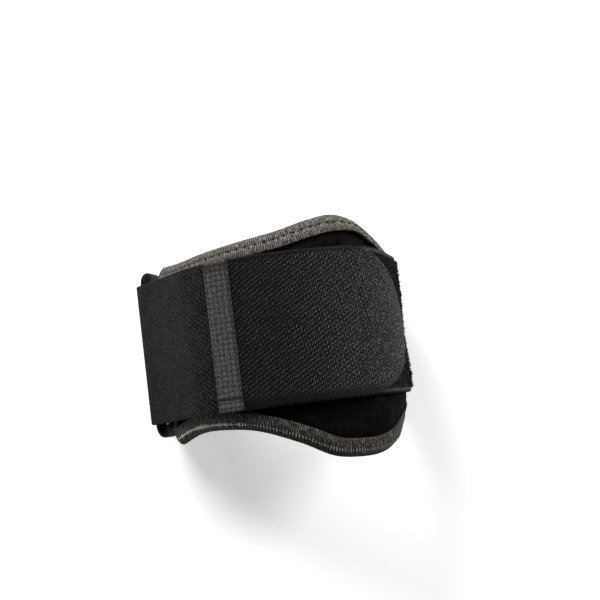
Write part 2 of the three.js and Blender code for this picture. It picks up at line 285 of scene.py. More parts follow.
def ring_skin(rings, ring_uvs, looped, way=1):
    """Quads and their uvs between closed rings of points; unlooped ends get one face each.

    A way of -1 turns the faces over.
    """
    count, sides = rings.shape[:2]
    last = count if looped else count - 1
    here = np.arange(last)[:, None] * sides
    following = ((np.arange(last)[:, None] + 1) % count) * sides
    k = np.arange(sides)[None, :]
    beside = (k + 1) % sides
    quads = np.stack([here + k, here + beside, following + beside, following + k], axis=-1)[..., ::way]
    start, end = ring_uvs[:-1], ring_uvs[1:]
    corner_uvs = np.stack([start[:, :-1], start[:, 1:], end[:, 1:], end[:, :-1]], axis=2)[:, :, ::way]
    faces = quads.reshape(-1, 4).tolist()
    uvs = corner_uvs.reshape(-1, 2)
    if not looped:
        faces.append(list(range(sides))[::-way])
        faces.append([(count - 1) * sides + i for i in range(sides)][::way])
        uvs = np.concatenate([uvs, ring_uvs[0, :-1][::-way], ring_uvs[-1, :-1][::way]])
    return faces, uvs


# Materials

def grey(value):
    return (value, value, value)


def rgba(colour):
    return (*colour, 1.0)


# Colours in linear light, at stops from dark to light
RAMPS = {
    "pad_plush": [(0.12, grey(0.0003)), (0.45, (0.0072, 0.0060, 0.0062))],
    "binding_knit": [
        (0.30, (0.013, 0.0115, 0.010)), (0.52, (0.088, 0.080, 0.071)), (0.80, (0.34, 0.318, 0.288)),
    ],
    "strap_smooth": [(0.26, (0.0010, 0.0009, 0.0010)), (0.80, (0.0240, 0.0214, 0.0232))],
    "strap_pile": [
        (0.22, (0.0065, 0.0078, 0.0082)), (0.56, (0.021, 0.0245, 0.0255)), (1.0, (0.052, 0.051, 0.051)),
    ],
    "tab_weave": [(0.07, grey(0.0008)), (0.40, grey(0.0165)), (0.90, grey(0.140))],
    "tape_grid": [(0.12, grey(0.003)), (0.60, (0.0295, 0.0289, 0.0277)), (1.0, (0.104, 0.101, 0.097))],
    "ring_plastic": [(0.3, grey(0.002)), (0.8, grey(0.004))],
    "thread_lit_pale": [(0.1, (0.20, 0.188, 0.168)), (0.9, (0.92, 0.875, 0.80))],
    "thread_shaded_pale": [(0.1, (0.055, 0.051, 0.046)), (0.9, (0.30, 0.282, 0.254))],
    "thread_dark_and_hole_shade": [(0.1, grey(0.002)), (0.9, grey(0.008))],
}
# Pitches of ribs, rows and twists, in millimetres
PITCHES = {
    "knit_rib": 0.72, "twill": 1.41, "tape_column": 1.86, "tape_row": 1.75, "twist": 0.3,
    "weave_rib": 0.64, "weave_row": 1.28, "weave_far_row": 1.29, "weave_edge_rib": 0.8,
}
# Slants of the rows, in degrees
SLANTS = {"twill": 56, "weave_row": -122, "weave_far_row": -64, "twist": 35}


class Shader:
    """A material's node tree, built by short calls."""

    def __init__(self, name):
        self.stops = RAMPS[name]
        self.material = bpy.data.materials.new(name)
        self.material.use_nodes = True
        self.tree = self.material.node_tree
        self.surface = self.tree.nodes["Principled BSDF"]
        self.uv = self.node("ShaderNodeUVMap").outputs["UV"]

    def node(self, kind, inputs=None, **settings):
        made = self.tree.nodes.new(kind)
        for key, value in settings.items():
            setattr(made, key, value)
        self.fill(made, inputs or {})
        return made

    def fill(self, node, inputs):
        for key, value in inputs.items():
            if isinstance(value, bpy.types.NodeSocket):
                self.tree.links.new(value, node.inputs[key])
            else:
                node.inputs[key].default_value = value

    def math(self, operation, *values):
        return self.node("ShaderNodeMath", dict(enumerate(values)), operation=operation).outputs[0]

    def times(self, first, second):
        return self.math("MULTIPLY", first, second)

    def plus(self, first, second):
        return self.math("ADD", first, second)

    def minus(self, first, second):
        return self.math("SUBTRACT", first, second)

    def scaled(self, value, factor, added):
        """A value times a factor, and something added to that."""
        return self.math("MULTIPLY_ADD", value, factor, added)

    def blend(self, share, first, second):
        return self.node("ShaderNodeMix", {0: share, 2: first, 3: second}).outputs[0]

    def mapped(self, scale, angle=0.0):
        """The uvs turned by an angle and scaled: a scale of 1 is one repeat to the millimetre."""
        inputs = {"Vector": self.uv, "Rotation": (0.0, 0.0, angle), "Scale": (*scale, 1.0)}
        return self.node("ShaderNodeMapping", inputs).outputs["Vector"]

    def axis(self, vector, name):
        return self.node("ShaderNodeSeparateXYZ", {"Vector": vector}).outputs[name]

    def along(self):
        return self.axis(self.uv, "X")

    def across(self):
        return self.axis(self.uv, "Y")

    def slanted(self, name):
        """Millimetres across rows of a named slant."""
        return self.axis(self.mapped((1.0, 1.0), math.radians(SLANTS[name])), "X")

    def noise(self, along, detail, across=None):
        inputs = {"Vector": self.mapped((along, across or along)), "Scale": 1.0, "Detail": detail}
        return self.node("ShaderNodeTexNoise", inputs).outputs["Fac"]

    def ramp(self, tone):
        made = self.node("ShaderNodeValToRGB", {"Fac": tone})
        elements = made.color_ramp.elements
        while len(elements) < len(self.stops):
            elements.new(0.5)
        for element, (position, colour) in zip(elements, self.stops):
            element.position = position
            element.color = rgba(colour)
        return made.outputs["Color"]

    def steps(self, value, low, high):
        """0 at low, 1 at high, and smooth between; low may be the larger of the two."""
        inputs = {"Value": value, "From Min": low, "From Max": high}
        return self.node("ShaderNodeMapRange", inputs, interpolation_type="SMOOTHSTEP").outputs["Result"]

    def over(self, value, span):
        return self.steps(value, span["from"], span["to"])

    def away(self, value, place):
        """How far a value is from a place, to either side."""
        return self.math("ABSOLUTE", self.minus(value, place))

    def wave(self, coordinate, pitch):
        """A smooth 0 to 1 wave of that pitch along a coordinate in millimetres."""
        angle = self.times(coordinate, math.tau / pitch)
        return self.scaled(self.math("SINE", angle), 0.5, 0.5)

    def finish(self, tone, roughness, height, depth, sheen=0.0, specular=0.5):
        bump = self.node("ShaderNodeBump", {"Height": height, "Distance": depth * MM, "Strength": 1.0})
        self.fill(self.surface, {
            "Base Color": self.ramp(tone), "Roughness": roughness, "Specular IOR Level": specular,
            "Sheen Weight": sheen, "Sheen Roughness": 0.5, "Normal": bump.outputs["Normal"],
        })
        return self.material


# Heights between which the plush is painted lighter along the upper lobe, standing in for light from above,
# and by how much
UPPER_PAINTED_LIGHT = {"from": 18.0, "to": 30.0, "by": 0.5}


def plush_material():
    """Near-black napped cloth: soft mottling from the lie of the nap, and painted light along the upper
    lobe.
    """
    look = Shader("pad_plush")
    fine = look.noise(2.2, 3.0)
    broad = look.noise(0.25, 2.0)
    # Painted light: the plush of the upper lobe is made lighter in its colour
    upper = look.over(look.across(), UPPER_PAINTED_LIGHT)
    painted_light = look.scaled(upper, UPPER_PAINTED_LIGHT["by"], 1.0)
    lie = look.times(look.times(fine, broad), painted_light)
    return look.finish(lie, 0.95, fine, 0.25, sheen=0.012, specular=0.02)


# The lower run of the binding begins and ends at lengths round the pad's outline, and is painted darker as
# shade, facing away from the light
LOWER_BEGINS = {"from": 174.0, "to": 186.0}
LOWER_ENDS = {"from": 401.0, "to": 389.0}
LOWER_PAINTED_SHADE = -0.122
# Its outer edge turns under and is painted darker still as shade, between these widths across the binding
UNDER_EDGE_PAINTED_SHADE = {"from": 3.2, "to": 6.4, "darker": -0.08}


def knit_material():
    """Heather grey ribbed knit: strands across the edge, light and dark ones mixed, with painted shade on
    the lower run and its turned-under edge.
    """
    look = Shader("binding_knit")
    along = look.along()
    sway = look.times(look.noise(0.5, 2.0), 0.7)
    rib = look.wave(look.plus(along, sway), PITCHES["knit_rib"])
    strands = look.noise(2.6, 3.0, across=0.55)
    specks = look.noise(3.2, 2.0, across=1.6)
    mixed = look.scaled(look.minus(specks, 0.5), 0.85, strands)
    lit = look.scaled(look.minus(rib, 0.5), 0.22, mixed)
    # Painted shade: the lower run is darker, and darker still where its outer edge turns under
    lower = look.times(look.over(along, LOWER_BEGINS), look.over(along, LOWER_ENDS))
    under = look.over(look.across(), UNDER_EDGE_PAINTED_SHADE)
    painted_shade = look.scaled(under, UNDER_EDGE_PAINTED_SHADE["darker"], LOWER_PAINTED_SHADE)
    lit = look.scaled(lower, painted_shade, lit)
    height = look.scaled(mixed, 0.9, rib)
    return look.finish(lit, 0.92, height, 0.20, sheen=0.04, specular=0.08)


# The strap's smooth face is painted darker below the middle and near the fold as shade, with a pale line
# along its lower edge
PAINTED_SHADE_BELOW_MIDDLE = {"from": 0.0, "to": -14.0, "darker": -0.085}
PAINTED_SHADE_NEAR_FOLD = {"from": 30.0, "to": 4.0, "darker": -0.11}
PALE_LINE = {"inset": 2.0, "from": 0.25, "to": 0.0, "lighter": 0.16}


def elastic_material():
    """The strap's smooth face: a fine dark twill, uneven in tone."""
    look = Shader("strap_smooth")
    across = look.across()
    bend = look.times(look.noise(0.8, 3.0), 1.9)
    twill = look.wave(look.plus(look.slanted("twill"), bend), PITCHES["twill"])
    grain = look.steps(look.noise(1.1, 3.0), 0.34, 0.66)
    broad = look.steps(look.noise(0.15, 2.0), 0.3, 0.7)
    cloth = look.scaled(twill, 0.38, look.times(grain, 0.48))
    # Painted shade below the middle of the strap
    lower = look.over(across, PAINTED_SHADE_BELOW_MIDDLE)
    tone = look.scaled(lower, PAINTED_SHADE_BELOW_MIDDLE["darker"], look.scaled(broad, 0.14, cloth))
    # Painted shade near the fold, where the strap turns away from the light
    from_fold = look.away(look.along(), STRAP_LINE.arcs()[2]["from"])
    fold_shade = look.over(from_fold, PAINTED_SHADE_NEAR_FOLD)
    tone = look.scaled(fold_shade, PAINTED_SHADE_NEAR_FOLD["darker"], tone)
    line = look.over(look.away(across, PALE_LINE["inset"] - HALF_WIDTH), PALE_LINE)
    tone = look.scaled(line, PALE_LINE["lighter"], tone)
    return look.finish(tone, 0.8, cloth, 0.15, sheen=0.01, specular=0.05)


# The bare edge beside the pile
PILE_SELVEDGE = 1.6
BARE_EDGE = {"from": HALF_WIDTH - PILE_SELVEDGE - 0.3, "to": HALF_WIDTH - PILE_SELVEDGE + 0.3}


def pile_material():
    """The strap's loop face and its loops, with a lighter bare edge."""
    look = Shader("strap_pile")
    tufted = look.noise(0.9, 3.0)
    selvedge = look.over(look.away(look.across(), 0.0), BARE_EDGE)
    tone = look.scaled(selvedge, 0.5, look.times(tufted, 0.75))
    return look.finish(tone, 0.95, tufted, 0.5, sheen=0.02, specular=0.08)


# The way across the weave's ribs, and the two waves of its fine grain in repeats to the millimetre
RIB_WAY = {"along": -0.951, "across": 0.309}
GRAIN_UPRIGHT = {"along": 0.62, "across": 0.161}
GRAIN_LEVEL = {"along": 0.131, "across": -1.22}
# Places along the form between which the weave is painted lighter, as light falling on its end, and turns to
# fine grain
LIT_END = {"from": 34.0, "to": 82.0}
GRAINED = {"from": 40.0, "to": 80.0, "share": 0.6}
# Beyond a place the ribs stand further and further apart
RIBS_WIDEN = {"from": 38.0, "by": -0.0044}
# Heights between which plain ribs begin along the tab's edges
LOWER_RIBS = {"from": 4.0 - HALF_WIDTH, "to": 1.8 - HALF_WIDTH}
UPPER_RIBS = {"from": HALF_WIDTH - 1.8, "to": HALF_WIDTH - 0.8}


def weave_material():
    """The tab: a coarse black weave with raised floats in slanting rows, finer towards its end, with painted
    light towards its end.
    """
    look = Shader("tab_weave")
    along = look.along()
    across = look.across()
    bend = look.minus(look.noise(0.7, 3.0), 0.5)

    def grain_wave(way, moved):
        repeats = look.scaled(along, way["along"], look.scaled(across, way["across"], moved))
        return look.wave(repeats, 1.0)

    towards_end = look.over(along, LIT_END)
    beyond = look.math("MAXIMUM", look.minus(along, RIBS_WIDEN["from"]), 0.0)
    widened = look.scaled(look.times(beyond, beyond), RIBS_WIDEN["by"], along)
    steep = look.scaled(widened, RIB_WAY["along"], look.scaled(across, RIB_WAY["across"], bend))
    rib_wave = look.wave(steep, PITCHES["weave_rib"])
    near_wave = look.wave(look.plus(look.slanted("weave_row"), bend), PITCHES["weave_row"])
    far_wave = look.wave(look.plus(look.slanted("weave_far_row"), bend), PITCHES["weave_far_row"])
    both_waves = look.scaled(far_wave, 0.6, look.times(near_wave, 0.4))
    row_wave = look.scaled(look.blend(towards_end, near_wave, both_waves), 0.65, 0.35)
    wander = look.times(look.minus(look.noise(0.8, 2.0), 0.5), 3.4)
    grain = look.times(grain_wave(GRAIN_UPRIGHT, wander), grain_wave(GRAIN_LEVEL, wander))
    grained = look.times(look.over(along, GRAINED), GRAINED["share"])
    floats = look.blend(grained, look.times(rib_wave, row_wave), grain)
    raised = look.steps(floats, 0.16, 0.74)
    edge = look.math("MAXIMUM", look.over(across, LOWER_RIBS), look.over(across, UPPER_RIBS))
    edge_ribs = look.wave(look.plus(along, bend), PITCHES["weave_edge_rib"])
    height = look.blend(edge, raised, edge_ribs)
    glints = look.steps(look.noise(2.8, 2.0), 0.30, 0.70)
    spread = look.scaled(towards_end, -0.45, 0.85)
    strength = look.scaled(glints, spread, look.scaled(towards_end, 0.22, 0.15))
    # Painted light makes the weave lighter towards the tab's end; its edges with plain ribs are its own
    # darker colour
    edge_and_painted_light = look.times(look.scaled(edge, -0.65, 1.0), look.scaled(towards_end, 0.86, 0.78))
    lit = look.times(look.times(height, strength), edge_and_painted_light)
    return look.finish(lit, 0.6, height, 0.25, specular=0.10)


# The tape's darker places: painted shade in the groove along its edge beside the tab and along a fold line
# above its lower end, and its own darker upper end
TAPE_BORDER_SHADE = {"from": TAPE_END - 1.2, "to": TAPE_END}
TAPE_FOLD_SHADE = {"above_end": 4.2, "from": 0.15, "to": 0.6}
TAPE_UPPER = {"from": HALF_WIDTH - 3.8, "to": HALF_WIDTH - 3.2}


def grid_material():
    """The joining tape: a dark grey grid weave with uneven threads."""
    look = Shader("tape_grid")
    along = look.along()
    up = look.across()
    sway = look.times(look.noise(0.5, 2.0), 1.1)
    columns = look.steps(look.wave(look.plus(along, sway), PITCHES["tape_column"]), 0.0, 0.30)
    rows = look.steps(look.wave(look.plus(up, sway), PITCHES["tape_row"]), 0.0, 0.36)
    thread = look.times(look.scaled(columns, 0.26, 0.74), look.scaled(rows, 0.24, 0.76))
    wear = look.scaled(look.noise(2.3, 3.0, across=1.2), 1.7, -0.03)
    # Painted shade along the groove where the tape's edge meets the tab
    border = look.scaled(look.over(along, TAPE_BORDER_SHADE), -0.25, 1.0)
    lit = look.times(look.times(thread, wear), border)
    # Painted shade along the tape's fold line
    from_fold = look.away(up, TAPE_FOLD_SHADE["above_end"] - HALF_WIDTH)
    fold = look.scaled(look.over(from_fold, TAPE_FOLD_SHADE), 0.6, 0.4)
    upper = look.over(up, TAPE_UPPER)
    lit = look.times(look.times(lit, fold), look.scaled(upper, -0.16, 1.0))
    return look.finish(lit, 0.85, thread, 0.15, specular=0.08)


def plastic_material():
    """Moulded black plastic with a faint grain."""
    look = Shader("ring_plastic")
    grain = look.noise(3.0, 2.0)
    roughness = look.scaled(grain, 0.15, 0.45)
    return look.finish(grain, roughness, grain, 0.02, specular=0.04)


def thread_material(name):
    look = Shader(name)
    twist = look.wave(look.slanted("twist"), PITCHES["twist"])
    return look.finish(twist, 0.7, twist, 0.05, specular=0.15)


PILE = pile_material()
# Dark thread for the strap's stitches, also used as painted shade in the binding's needle holes
DARK_THREAD_AND_HOLE_SHADE = thread_material("thread_dark_and_hole_shade")


# The strap

def rounded_band(half_width, half_thick, face_steps, edge_steps):
    """Heights and offsets round a flat band's section: its near face, edge, far face, edge."""
    flat = half_width - half_thick
    face = np.linspace(-flat, flat, face_steps + 1)
    turn = np.linspace(0, math.pi, edge_steps + 1)[1:-1]
    top = np.stack([flat + half_thick * np.sin(turn), half_thick * np.cos(turn)], axis=-1)
    near = np.stack([face, np.full_like(face, half_thick)], axis=-1)
    far = np.stack([face[::-1], np.full_like(face, -half_thick)], axis=-1)
    return np.concatenate([near, top, far, -top])


def form_to_strap(s):
    """The strap's own length at a place on its run over the round, from the place along the form line."""
    run_start = STRAP_LINE.arcs()[5]["from"]
    return run_start + s * (FORM_RADIUS + STRAP_THICK / 2) / FORM_RADIUS


def tab_end_at(y):
    """How far along the form the tab reaches at a height: two quarter ovals that meet at its tip."""
    room = np.where(y > TAB_TIP_Y, HALF_WIDTH - TAB_TIP_Y, HALF_WIDTH + TAB_TIP_Y)
    share = np.clip((y - TAB_TIP_Y) / room, -1, 1)
    return TAB_END - TAB_ROUND + TAB_ROUND * np.sqrt(1 - share ** 2)


STRAP_FACE_STEPS = 24
STRAP_EDGE_STEPS = 6
# Steps along the strap, the closer ones where it bends to less than a radius
STRAP_STEPS = {"tight_below": 10.0, "tight": 0.35, "plain": 1.2}
# The strap is wider and a little lower round its fold over the front bar
FOLD_FLARE = {"scale": 1.017, "shift": -0.21, "reach": 22.0}
# Places along the form where the strap's upper edge starts to turn down, is down, and has come up again
EDGE_DIP = {"depth": 2.4, "start": 70.0, "full": 92.0, "back": 120.0, "end": 145.0}


def strap_height(s, y):
    """Heights across the strap, with its flare at the fold and the dip of its upper edge."""
    fold = STRAP_LINE.arcs()[2]["from"]
    share = np.exp(-((s - fold) / FOLD_FLARE["reach"]) ** 2)
    start, full, back, end = (form_to_strap(EDGE_DIP[key]) for key in ("start", "full", "back", "end"))
    dip = ease((s - start) / (full - start)) * ease((end - s) / (end - back))
    lowered = EDGE_DIP["depth"] * dip * ease(y / HALF_WIDTH)
    return y * (1 + (FOLD_FLARE["scale"] - 1) * share) + FOLD_FLARE["shift"] * share - lowered


def make_strap():
    section = rounded_band(HALF_WIDTH, STRAP_THICK / 2, STRAP_FACE_STEPS, STRAP_EDGE_STEPS)
    stations = [0.0]
    for piece in STRAP_LINE.pieces:
        tight = piece["radius"] < STRAP_STEPS["tight_below"]
        count = max(1, math.ceil(piece["length"] / STRAP_STEPS["tight" if tight else "plain"]))
        stations += [piece["from"] + piece["length"] * (k + 1) / count for k in range(count)]
    s = np.array(stations)[:, None]
    rings = STRAP_LINE.surface(s, strap_height(s, section[None, :, 0]), section[None, :, 1])
    heights = np.append(section[:, 0], section[0, 0])
    uvs = uv_grid(s, heights[None, :])
    faces, corner_uvs = ring_skin(rings, uvs, looped=False, way=-1)
    pile_sides = np.arange(len(section)) < STRAP_FACE_STEPS
    slots = np.where(np.tile(pile_sides, len(stations) - 1), 1, 0).tolist() + [0, 0]
    strap = add_mesh("strap_band", rings, faces, corner_uvs, [elastic_material(), PILE], slots)
    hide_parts("strap")
    return strap


PILE_PER_AREA = 4.8
PILE_SEED = 7
PILE_FLOOR_CLEAR = 0.25
PILE_TAB_CLEAR = 0.3
LOOP_STEPS = 4
LOOP_WIDTH = 0.11
LOOP_ROOT = 0.05
LOOP_SPAN = (0.35, 0.95)
LOOP_LEAN = 0.28
LOOP_RISE = {"least": 0.2, "tufted": 1.15, "uneven": (0.7, 1.1)}
TUFTS = {"waves": 9, "lengths": (2.0, 6.5), "contrast": 1.3}
# The tab's tip presses the pile down beyond it: by what share of its height, and how far that goes
PILE_PRESSED = {"down": 0.9, "across": 9.0, "end": 20.0, "fade": 10.0}


def tufts(s, y, generator):
    """Soft clumps from 0 to 1 over the cloth: waves of a few millimetres in several directions."""
    total = np.zeros_like(s)
    for _ in range(TUFTS["waves"]):
        angle, phase = generator.uniform(0, math.tau, 2)
        length = generator.uniform(*TUFTS["lengths"])
        total += np.sin(math.tau * (s * math.cos(angle) + y * math.sin(angle)) / length + phase)
    return np.clip(0.5 + total / TUFTS["waves"] * TUFTS["contrast"], 0, 1)


def make_pile():
    """Loops of yarn on the strap's outer face, from the tab's end to the ring's back bar."""
    generator = np.random.default_rng(PILE_SEED)
    half = HALF_WIDTH - PILE_SELVEDGE
    first = form_to_strap(TAB_END - TAB_ROUND)
    last = STRAP_LINE.arcs()[10]["from"]
    loops = int((last - first) * 2 * half * PILE_PER_AREA)
    s = generator.uniform(first, last, loops)
    y = generator.uniform(-half, half, loops)
    open_cloth = s > form_to_strap(tab_end_at(y) + PILE_TAB_CLEAR)
    s, y = s[open_cloth], y[open_cloth]
    count = len(s)
    rise = LOOP_RISE["least"] + LOOP_RISE["tufted"] * tufts(s, y, generator)
    rise *= generator.uniform(*LOOP_RISE["uneven"], count)
    beyond_tab = s - form_to_strap(tab_end_at(y))
    near_tip = np.exp(-((y - TAB_TIP_Y) / PILE_PRESSED["across"]) ** 2)
    near_tip *= ease((PILE_PRESSED["end"] - beyond_tab) / PILE_PRESSED["fade"])
    rise *= 1 - PILE_PRESSED["down"] * near_tip
    span = generator.uniform(*LOOP_SPAN, (count, 1))
    spin = generator.uniform(0, math.tau, (count, 1))
    lean = generator.normal(0, LOOP_LEAN, (count, 2))
    t = np.linspace(0, 1, LOOP_STEPS + 1)[None, :]
    arch = np.sin(math.pi * t)
    along = span * (t - 0.5)
    rows = []
    for side in (-0.5, 0.5):
        step_s = along * np.cos(spin) - side * LOOP_WIDTH * np.sin(spin)
        step_y = along * np.sin(spin) + side * LOOP_WIDTH * np.cos(spin)
        at_s = s[:, None] + step_s + arch * lean[:, :1]
        at_y = strap_height(at_s, y[:, None] + step_y + arch * lean[:, 1:])
        rows.append(STRAP_LINE.surface(at_s, at_y, STRAP_THICK / 2 - LOOP_ROOT + rise[:, None] * arch))
    points = np.stack(rows, axis=2)
    above = points[..., 2].min(axis=(1, 2)) > PILE_FLOOR_CLEAR * MM
    points, s, y = points[above], s[above], y[above]
    loop_points = 2 * (LOOP_STEPS + 1)
    corner = (np.arange(len(points)) * loop_points)[:, None] + np.arange(LOOP_STEPS)[None, :] * 2
    faces = np.stack([corner, corner + 1, corner + 3, corner + 2], axis=-1).reshape(-1, 4)
    uvs = np.repeat(uv_grid(s, y), 4 * LOOP_STEPS, axis=0)
    pile = add_mesh("strap_loops", points, faces, uvs, [PILE])
    return pile


# The tab and its joining tape

def shell(name, outer, inner, uvs, materials):
    """A closed body between two grids of points, joined round their edge."""
    rows, columns = outer.shape[:2]
    index = np.arange(rows * columns).reshape(rows, columns)
    under = rows * columns
    far = index + under

    def quads(a, b, c, d):
        return np.stack([a, b, c, d], axis=-1).reshape(-1, 4)

    front = quads(index[:-1, :-1], index[1:, :-1], index[1:, 1:], index[:-1, 1:])
    back = quads(far[:-1, :-1], far[:-1, 1:], far[1:, 1:], far[1:, :-1])
    border = np.concatenate([index[0, :-1], index[:-1, -1], index[-1, :0:-1], index[:0:-1, 0]])
    following = np.roll(border, -1)
    walls = quads(border, following, following + under, border + under)
    faces = np.concatenate([front, back, walls])
    flat_uvs = np.tile(uvs.reshape(-1, 2), (2, 1))
    return add_mesh(name, np.stack([outer, inner]), faces, flat_uvs[faces.ravel()], materials)


def edge_rounding(distance, radius):
    """How far a rounded edge lies below its face, as a share of the radius, at a distance from the edge."""
    inward = np.clip(1 - distance / radius, 0, 1)
    return 1 - np.sqrt(1 - inward ** 2)


TAB_ROUNDING = {"drop": 0.5, "radius": 0.9, "end_share": 0.8}
TAPE_ROUNDING = {"drop": 0.35, "radius": 0.6}
# Shares of the tab's length at its rows of points, closer together near its end
TAB_ROWS = np.concatenate([np.linspace(0, 0.97, 90), np.linspace(0.97, 1, 9)[1:]])


def make_tab(tape):
    start = STRAP_END + GAP
    across = np.sin(np.linspace(-math.pi / 2, math.pi / 2, 61))
    heights = TAB_TIP_Y + across * np.where(across > 0, HALF_WIDTH - TAB_TIP_Y, HALF_WIDTH + TAB_TIP_Y)
    end = tab_end_at(heights)
    s = start + TAB_ROWS[:, None] * (end - start)[None, :]
    y = np.broadcast_to(heights, s.shape)
    to_edge = np.minimum(HALF_WIDTH - np.abs(y), (end[None, :] - s) * TAB_ROUNDING["end_share"])
    drop = TAB_ROUNDING["drop"] * edge_rounding(to_edge, TAB_ROUNDING["radius"])
    outer = on_form(s, y, FOLD_INSIDE + TAB_THICK - drop)
    inner = on_form(s, y, FOLD_INSIDE)
    tab = shell("hook_tab_weave", outer, inner, uv_grid(s, y), [weave_material()])
    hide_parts("hook_tab")
    return tab


def make_tape():
    inside = FOLD_INSIDE + STRAP_THICK + GAP
    s = np.linspace(TAPE_START, TAPE_END, 31)[:, None]
    y = np.linspace(-HALF_WIDTH, HALF_WIDTH, 81)[None, :]
    to_edge = np.minimum(np.minimum(s - TAPE_START, TAPE_END - s), HALF_WIDTH - np.abs(y))
    drop = TAPE_ROUNDING["drop"] * edge_rounding(to_edge, TAPE_ROUNDING["radius"])
    outer = on_form(s, y, inside + TAPE_THICK - drop)
    inner = on_form(s, y, inside)
    tape = shell("join_tape_grid", outer, inner, uv_grid(s, y), [grid_material()])
    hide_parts("join_tape")
    return tape


# The pad and its binding

def spline(places, values, at):
    """A smooth curve through values at places, with the slope at each from its neighbours."""
    places, values = np.asarray(places, dtype=float), np.asarray(values, dtype=float)
    slopes = np.gradient(values, places)
    i = np.clip(np.searchsorted(places, at, side="right") - 1, 0, len(places) - 2)
    span = places[i + 1] - places[i]
    t = np.clip((at - places[i]) / span, 0, 1)
    bend = values[i] * (1 + 2 * t) * (1 - t) ** 2 + values[i + 1] * t ** 2 * (3 - 2 * t)
    return bend + slopes[i] * span * t * (1 - t) ** 2 - slopes[i + 1] * span * t ** 2 * (1 - t)


class PadOutline:
    """The bound pad's outline drawn in by an inset."""

    def __init__(self, inset):
        self.inset = inset
        self.start = PAD_ALONG[0] + inset
        self.end = PAD_ALONG[-1] - inset
        self.radius = PAD_CORNER_RADIUS - inset

    def edge(self, s, heights, sign):
        height = spline(PAD_ALONG, heights, s)
        into = np.clip(self.radius - np.minimum(s - self.start, self.end - s), 0, self.radius)
        drop = self.radius - np.sqrt(self.radius ** 2 - into ** 2)
        return height - sign * (self.inset + drop)

    def edges(self, s):
        return self.edge(s, PAD_TOP, 1), self.edge(s, PAD_BOTTOM, -1)

    def places(self, corner_steps, steps):
        corner = self.radius * (1 - np.cos(np.linspace(0, math.pi / 2, corner_steps + 1)[:-1]))
        straight = np.linspace(self.start + self.radius, self.end - self.radius, steps + 1)
        return np.concatenate([self.start + corner, straight, (self.end - corner)[::-1]])

    def loop(self, step):
        """Points evenly along the outline, from the first end's top and over the top edge."""
        s = self.places(24, 300)
        top, bottom = (np.stack([s, heights], axis=-1) for heights in self.edges(s))
        corners = np.concatenate([top, bottom[::-1], top[:1]])
        lengths = lengths_along(corners)
        count = int(lengths[-1] / step)
        even = np.arange(count) * lengths[-1] / count
        points = np.stack([np.interp(even, lengths, corners[:, k]) for k in (0, 1)], axis=-1)
        return points, even


# The bound pad curls in between these places along the form and these heights
HUG_DEPTH = 1.9
HUG_PLACES = {"start": 70.0, "full": 94.0}
HUG_HEIGHTS = {"start": -26.0, "full": -37.0}
PAD_ROUNDING = {"drop": 0.9, "radius": 1.2}
CROWN_RUN = 3.5


def hug(s, y):
    """How far the bound pad curls in below the strap on its far side."""
    round_side = ease((s - HUG_PLACES["start"]) / (HUG_PLACES["full"] - HUG_PLACES["start"]))
    below = ease((y - HUG_HEIGHTS["start"]) / (HUG_HEIGHTS["full"] - HUG_HEIGHTS["start"]))
    return HUG_DEPTH * round_side * below


def on_pad(s, y, offset):
    return on_form(s, y, offset - hug(s, y))


def make_pad():
    outline = PadOutline(BINDING_THICK + GAP)
    s = outline.places(10, 120)[:, None]
    share = np.linspace(0, 1, 61)[None, :]
    top, bottom = outline.edges(s)
    y = bottom + (top - bottom) * share
    edge = np.minimum(np.minimum(top - y, y - bottom), np.minimum(s - outline.start, outline.end - s))
    cover = BINDING_COVER - BINDING_THICK
    crown = PAD_CROWN * ease((edge - cover) / CROWN_RUN)
    thin = PAD_ROUNDING["drop"] * edge_rounding(edge, PAD_ROUNDING["radius"])
    thin += edge_taper(edge + BINDING_THICK + GAP)
    outer = on_pad(s, y, PAD_OUTSIDE + crown - thin)
    inner = on_pad(s, y, PAD_OUTSIDE - PAD_EDGE_THICK - crown + thin)
    uvs = uv_grid(s, y)
    pad = shell("pad_body", outer, inner, uvs, [plush_material()])
    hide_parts("pad")
    return pad


STITCH_PITCH = 3.3
SEWN_UPPER = 2.9
SEWN_LOWER = 2.0
EDGE_TAPER = {"depth": 1.1, "beyond_cover": 1.0, "power": 1.5}
EDGE_ROUND = 0.9
# The outer lip's lift, the rolls either side of its sewn line, its gathers and its needle holes
LIP_LIFT = 0.8
OUTER_ROLL = 0.55
INNER_ROLL = {"height": 0.8, "power": 0.8, "turn": 0.78 * math.pi}
GATHERS = {"depth": 0.18, "run": 2.0}
HOLES = {"depth": 0.55, "width": 0.55, "sharpness": 8}
# Where the lip is free to roll, beyond the strap's edge and up to a place along the form
LIP_FREE = {"from_strap": 0.5, "strap_fade": 2.0, "to": 92.0, "fade": 12.0}
# Where the upper lip narrows, on the far side of the upper lobe
LIP_NARROWS = {"by": 0.3, "from": 60.0, "over": 14.0}


def edge_taper(inward):
    """How far the pad and its binding are pressed thinner towards the edge."""
    share = np.clip(1 - inward / (BINDING_COVER + EDGE_TAPER["beyond_cover"]), 0, 1)
    return EDGE_TAPER["depth"] * share ** EDGE_TAPER["power"]


def binding_frames(points):
    """Directions along a closed outline, and inwards from it."""
    along = np.roll(points, -1, axis=0) - np.roll(points, 1, axis=0)
    along /= norm(along, axis=1, keepdims=True)
    return along, np.stack([along[:, 1], -along[:, 0]], axis=-1)


def lip_freedom(points):
    """From 0, pressed flat under the strap and round the far side, to 1, free to roll."""
    past_strap = np.abs(points[:, 1]) - HALF_WIDTH - LIP_FREE["from_strap"]
    near_side = np.clip((LIP_FREE["to"] - points[:, 0]) / LIP_FREE["fade"], 0, 1)
    return np.clip(past_strap / LIP_FREE["strap_fade"], 0, 1) * near_side


